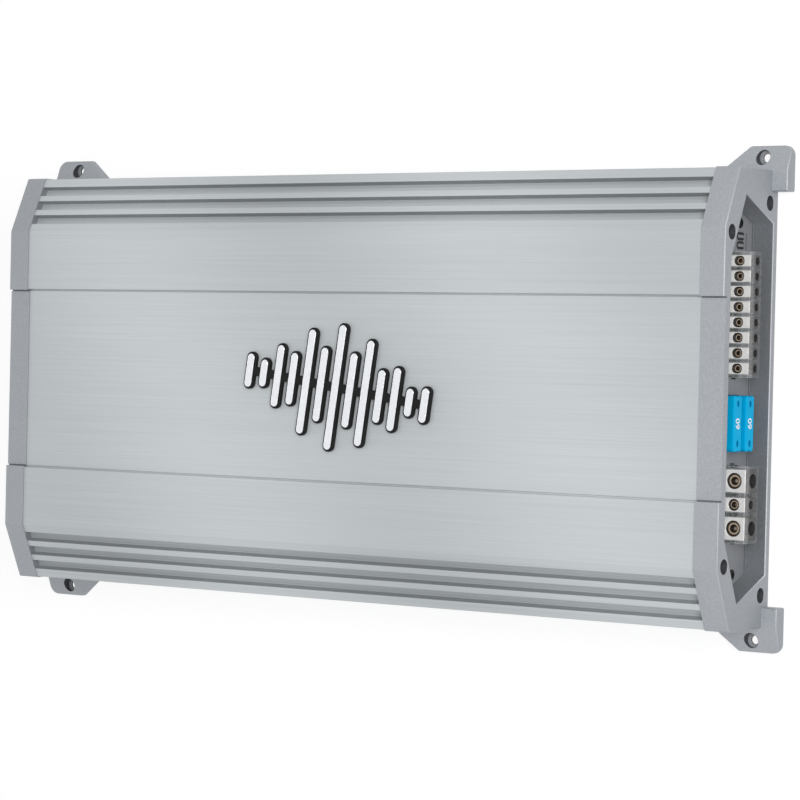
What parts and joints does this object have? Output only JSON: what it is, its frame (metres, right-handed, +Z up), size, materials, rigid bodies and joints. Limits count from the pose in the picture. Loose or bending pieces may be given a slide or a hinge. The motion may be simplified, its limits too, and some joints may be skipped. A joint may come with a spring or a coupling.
{
  "type": "car amplifier",
  "caption": "Flat finned car audio amplifier: extruded silver heatsink between cast end caps with mounting feet, screw terminals, blade fuses, input sockets and level controls.",
  "frame": {"origin": "centre of the bounding box at the underside of the four feet", "axes": "+X along the length towards the power and speaker end, +Y across the width, +Z up out of the wide face"},
  "size_m": [0.5, 0.2666, 0.0599],
  "materials": {
    "heatsink_alu": "fine satin, clear anodised",
    "cap_alu": "bead-blasted satin silver",
    "cover_black": "fine black powder coat",
    "zinc_screw": "bright zinc",
    "black_screw": "black oxide",
    "panel_grey": "matte mid-grey paint with plain marks",
    "badge_black": "gloss black",
    "badge_chrome": "bright",
    "board_green": "solder mask",
    "ferrite": "painted core",
    "copper_wire": "enamelled copper wire",
    "can_sleeve": "shrink sleeve",
    "chip_black": "moulded epoxy",
    "tinned": "tinned metal",
    "silicone": "thermal pad",
    "bar_steel": "zinc plated",
    "film_red": "dipped film capacitor",
    "socket_black": "moulded",
    "sleeve_gold": "plated",
    "core_white": "moulded",
    "core_red": "moulded",
    "control_blue": "moulded",
    "shaft_dark": "moulded",
    "tip_white": "moulded",
    "light_clear": "clear lens",
    "housing_clear": "clear smoky moulding",
    "block_nickel": "nickel plated",
    "set_screw": "dark plated",
    "holder_black": "moulded",
    "contact_brass": "tinned spring brass",
    "fuse_blue": "translucent blue",
    "blade_zinc": "zinc"
  },
  "bodies": {
    "amplifier": {"heatsink": "heatsink_alu", "bottom_cover": "cover_black", "bottom_cover_screws": "zinc_screw", "end_cap_power": "cap_alu", "end_cap_signal": "cap_alu", "end_cap_screws": "black_screw", "end_panel_power": "panel_grey", "end_panel_signal": "panel_grey", "panel_screws": "black_screw", "panel_brackets": "tinned", "badge_base": "badge_black", "badge_faces": "badge_chrome", "main_board": "board_green", "board_screws": "zinc_screw", "transformer_cores": "ferrite", "transformer_windings": "copper_wire", "capacitors": "can_sleeve", "transistor_bodies": "chip_black", "transistor_tabs": "tinned", "insulating_strips": "silicone", "clamp_bars": "bar_steel", "clamp_screws": "black_screw", "driver_boards": "board_green", "driver_chips": "chip_black", "film_capacitors": "film_red", "socket_housing": "socket_black", "socket_sleeves": "sleeve_gold", "socket_cores_white": "core_white", "socket_cores_red": "core_red", "level_control_bodies": "control_blue", "switch_bodies": "socket_black", "remote_jack": "socket_black", "status_lights": "light_clear", "speaker_housing": "housing_clear", "speaker_blocks": "block_nickel", "power_housing": "housing_clear", "power_blocks": "block_nickel", "fuse_holder": "holder_black", "fuse_contacts": "contact_brass"},
    "speaker_clamp_1": {"speaker_screw_1": "set_screw"},
    "speaker_clamp_2": {"speaker_screw_2": "set_screw"},
    "speaker_clamp_3": {"speaker_screw_3": "set_screw"},
    "speaker_clamp_4": {"speaker_screw_4": "set_screw"},
    "speaker_clamp_5": {"speaker_screw_5": "set_screw"},
    "speaker_clamp_6": {"speaker_screw_6": "set_screw"},
    "speaker_clamp_7": {"speaker_screw_7": "set_screw"},
    "speaker_clamp_8": {"speaker_screw_8": "set_screw"},
    "power_clamp_1": {"power_screw_1": "set_screw"},
    "power_clamp_2": {"power_screw_2": "set_screw"},
    "power_clamp_3": {"power_screw_3": "set_screw"},
    "fuse_1": {"fuse_body_1": "fuse_blue", "fuse_blades_1": "blade_zinc"},
    "fuse_2": {"fuse_body_2": "fuse_blue", "fuse_blades_2": "blade_zinc"},
    "level_1": {"level_shaft_1": "shaft_dark"},
    "level_2": {"level_shaft_2": "shaft_dark"},
    "level_3": {"level_shaft_3": "shaft_dark"},
    "level_4": {"level_shaft_4": "shaft_dark"},
    "selector_1": {"switch_slide_1": "tip_white"},
    "selector_2": {"switch_slide_2": "tip_white"}
  },
  "joints": [
    {"name": "speaker_clamp_1_travel", "type": "slide", "parent": "amplifier", "child": "speaker_clamp_1", "axis": [0, 0, 1], "range_m": [-0.0022, 0.0012]},
    {"name": "speaker_clamp_2_travel", "type": "slide", "parent": "amplifier", "child": "speaker_clamp_2", "axis": [0, 0, 1], "range_m": [-0.0022, 0.0012]},
    {"name": "speaker_clamp_3_travel", "type": "slide", "parent": "amplifier", "child": "speaker_clamp_3", "axis": [0, 0, 1], "range_m": [-0.0022, 0.0012]},
    {"name": "speaker_clamp_4_travel", "type": "slide", "parent": "amplifier", "child": "speaker_clamp_4", "axis": [0, 0, 1], "range_m": [-0.0022, 0.0012]},
    {"name": "speaker_clamp_5_travel", "type": "slide", "parent": "amplifier", "child": "speaker_clamp_5", "axis": [0, 0, 1], "range_m": [-0.0022, 0.0012]},
    {"name": "speaker_clamp_6_travel", "type": "slide", "parent": "amplifier", "child": "speaker_clamp_6", "axis": [0, 0, 1], "range_m": [-0.0022, 0.0012]},
    {"name": "speaker_clamp_7_travel", "type": "slide", "parent": "amplifier", "child": "speaker_clamp_7", "axis": [0, 0, 1], "range_m": [-0.0022, 0.0012]},
    {"name": "speaker_clamp_8_travel", "type": "slide", "parent": "amplifier", "child": "speaker_clamp_8", "axis": [0, 0, 1], "range_m": [-0.0022, 0.0012]},
    {"name": "power_clamp_1_travel", "type": "slide", "parent": "amplifier", "child": "power_clamp_1", "axis": [0, 0, 1], "range_m": [-0.0024, 0.001]},
    {"name": "power_clamp_2_travel", "type": "slide", "parent": "amplifier", "child": "power_clamp_2", "axis": [0, 0, 1], "range_m": [-0.0024, 0.001]},
    {"name": "power_clamp_3_travel", "type": "slide", "parent": "amplifier", "child": "power_clamp_3", "axis": [0, 0, 1], "range_m": [-0.0024, 0.001]},
    {"name": "fuse_1_pull", "type": "slide", "parent": "amplifier", "child": "fuse_1", "axis": [1, 0, 0], "range_m": [0, 0.03]},
    {"name": "fuse_2_pull", "type": "slide", "parent": "amplifier", "child": "fuse_2", "axis": [1, 0, 0], "range_m": [0, 0.03]},
    {"name": "level_1_turn", "type": "hinge", "parent": "amplifier", "child": "level_1", "pos_m": [-0.2282, 0.01495, 0.0288], "axis": [1, 0, 0], "range_deg": [-150, 150]},
    {"name": "level_2_turn", "type": "hinge", "parent": "amplifier", "child": "level_2", "pos_m": [-0.2282, 0.00245, 0.0288], "axis": [1, 0, 0], "range_deg": [-150, 150]},
    {"name": "level_3_turn", "type": "hinge", "parent": "amplifier", "child": "level_3", "pos_m": [-0.2282, -0.01005, 0.0288], "axis": [1, 0, 0], "range_deg": [-150, 150]},
    {"name": "level_4_turn", "type": "hinge", "parent": "amplifier", "child": "level_4", "pos_m": [-0.2282, -0.02255, 0.0288], "axis": [1, 0, 0], "range_deg": [-150, 150]},
    {"name": "selector_1_travel", "type": "slide", "parent": "amplifier", "child": "selector_1", "axis": [0, 1, 0], "range_m": [0, 0.004]},
    {"name": "selector_2_travel", "type": "slide", "parent": "amplifier", "child": "selector_2", "axis": [0, 1, 0], "range_m": [0, 0.004]}
  ]
}
